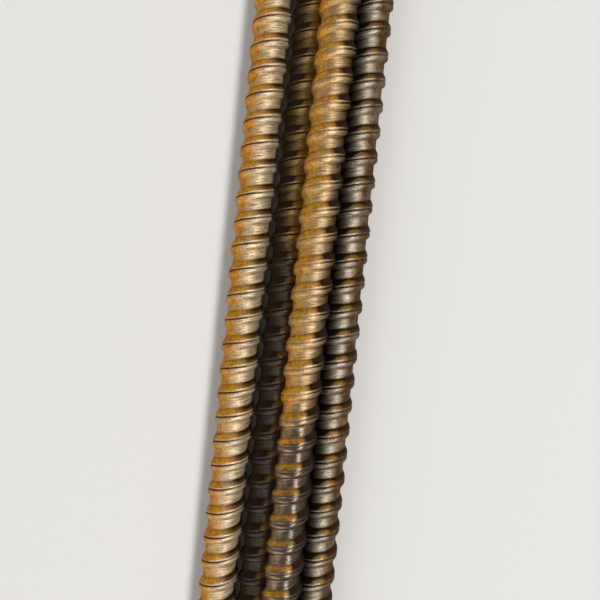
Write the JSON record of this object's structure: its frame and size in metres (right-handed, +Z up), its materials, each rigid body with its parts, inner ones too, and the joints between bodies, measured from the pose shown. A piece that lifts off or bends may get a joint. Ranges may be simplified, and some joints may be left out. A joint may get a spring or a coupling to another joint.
{
  "type": "bundle of coarse-threaded steel bars",
  "caption": "Loose stack of straight round steel bars with coarse right-hand thread ribs and square-cut ends, bare rolled steel under a thin rust film, the top bar in a valley",
  "frame": {"origin": "on the floor under the middle of the stack's bounding box", "axes": "+Y along the bars, +X across the stack to the right, +Z up"},
  "size_m": [0.0562, 1.012, 0.0269],
  "materials": {
    "rolled_steel": "bare rolled steel, semi-gloss, under a thin brown film of light rust and oil"
  },
  "bodies": {
    "root": {"floor_left_bar": "rolled_steel", "floor_middle_bar": "rolled_steel", "floor_right_bar": "rolled_steel", "top_bar": "rolled_steel"}
  },
  "joints": []
}
